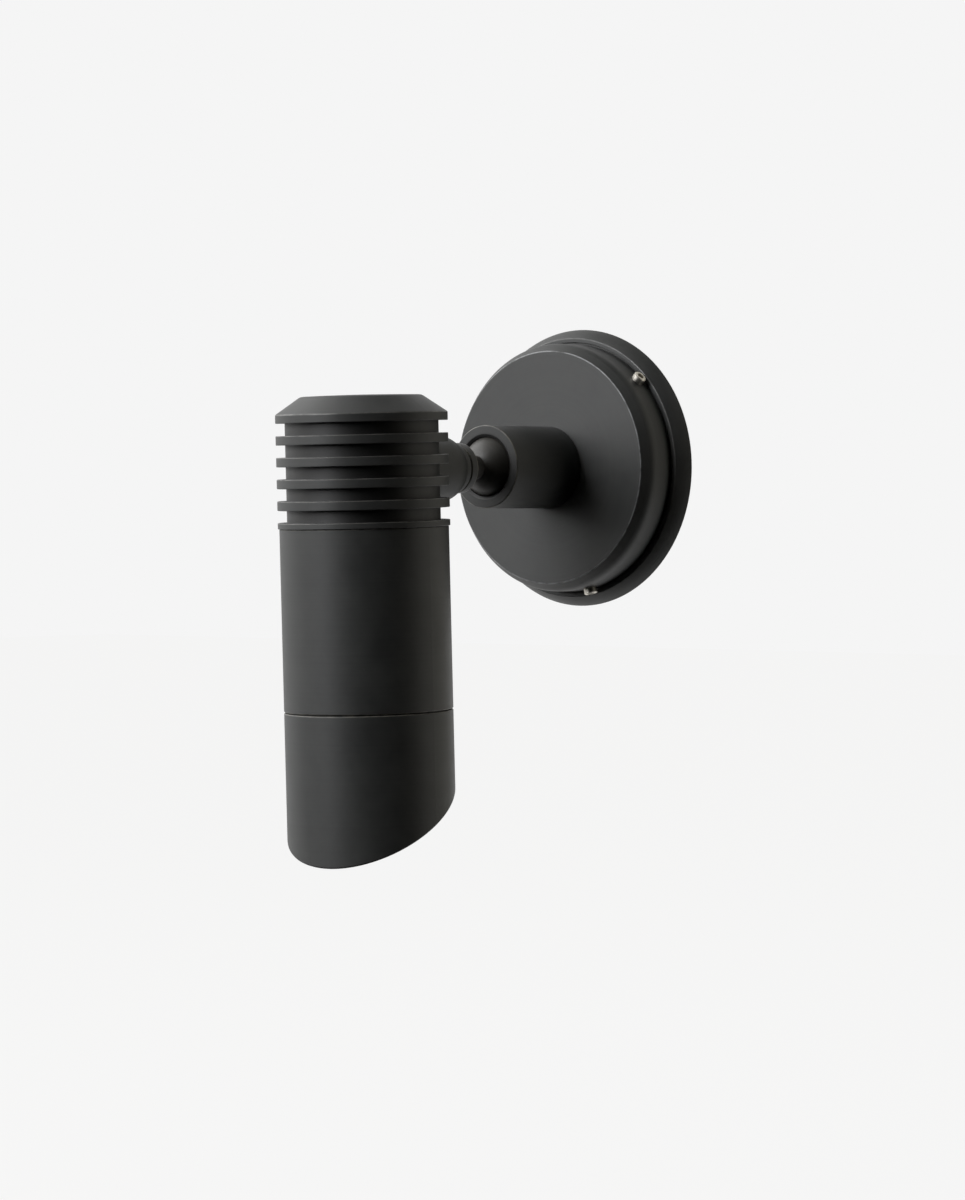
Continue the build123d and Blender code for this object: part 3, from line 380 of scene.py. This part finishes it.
def round_screen(name, bearings, rises, tone):
    """A bent screen: part of a sphere about the object, between two bearings and two rises in degrees."""
    turn, rise = np.radians(
        np.meshgrid(np.linspace(*bearings, screen_columns), np.linspace(*rises, screen_rows))
    )
    reach = np.cos(rise) * screen_distance
    screen(name, np.sin(turn) * reach, -np.cos(turn) * reach, np.sin(rise) * screen_distance, tone)


def floor_cloth(name, bearings, tone):
    """A cloth on the floor in front of the object: part of a disc between two bearings in degrees."""
    turn, reach = np.meshgrid(np.radians(np.linspace(*bearings, screen_columns)), (0.0, floor_half_width))
    level = np.full_like(turn, floor_level + cloth_lift)
    made = screen(name, reach * np.sin(turn), -reach * np.cos(turn), level, tone)
    made.visible_shadow = False


def softbox(name, turn_deg, rise_deg, half_wide_deg, half_tall_deg, level, tone):
    """A rectangular lamp at that bearing from straight out of the wall towards +X, facing the object.

    Its size is given as half the angle that it fills, and its level as how bright its face is.
    """
    turn, rise = radians(turn_deg), radians(rise_deg)
    towards = Vector((sin(turn) * cos(rise), -cos(turn) * cos(rise), sin(rise)))
    width, height = (2 * softbox_distance * tan(radians(half)) for half in (half_wide_deg, half_tall_deg))
    lamp = bpy.data.lights.new(name, "AREA")
    lamp.shape = "RECTANGLE"
    lamp.size = width
    lamp.size_y = height
    lamp.energy = level * pi * width * height
    lamp.color = linear(tone)[:3]
    made = bpy.data.objects.new(name, lamp)
    made.rotation_euler = towards.to_track_quat("Z", "Y").to_euler()
    made.location = softbox_aim + towards * softbox_distance
    made.visible_camera = False
    bpy.context.scene.collection.objects.link(made)


floor()
round_screen("black_screen", (1, 104), (-21, 50), "#050505")
round_screen("grey_screen", (104, 180), (-21, 50), "#cfccc2")
round_screen("black_ceiling", (36, 252), (55, 89), "#050505")
floor_cloth("black_cloth", (-62, 104), "#050505")
softbox("key_softbox", -18, 22, half_wide_deg=9, half_tall_deg=18, level=9.2, tone="#fbfcff")
softbox("wide_softbox", -65, 34, half_wide_deg=31, half_tall_deg=25, level=2.5, tone="#ffffff")

# ---------------------------------------------------------------- camera, as fitted to the photograph
bearing = radians(37.887)  # from straight out of the wall towards +X
distance = 1579.28 * mm
eye_height = -16.70 * mm
heading = bearing + radians(1.3191)  # where it looks, in the same sense as the bearing
pitch = radians(-1.1662)
roll = radians(-0.0070)
photo_height_px = 1200
focal_px = 4265.96  # the focal length in pixels of the photograph
sensor_mm = 36.0
ahead = Vector((-sin(heading) * cos(pitch), cos(heading) * cos(pitch), sin(pitch)))
across = Vector((cos(heading), sin(heading), 0))
above = across.cross(ahead)
across, above = across * cos(roll) + above * sin(roll), above * cos(roll) - across * sin(roll)
eye = Vector((distance * sin(bearing), -distance * cos(bearing), eye_height))
camera = bpy.data.objects.new("camera", bpy.data.cameras.new("camera"))
bpy.context.scene.collection.objects.link(camera)
camera.data.sensor_fit = "VERTICAL"
camera.data.sensor_height = sensor_mm
camera.data.lens = focal_px * sensor_mm / photo_height_px
camera.data.clip_start = 0.05
camera.matrix_world = Matrix.Translation(eye) @ Matrix((across, above, -ahead)).transposed().to_4x4()
bpy.context.scene.camera = camera
bpy.context.scene.view_settings.view_transform = "Standard"
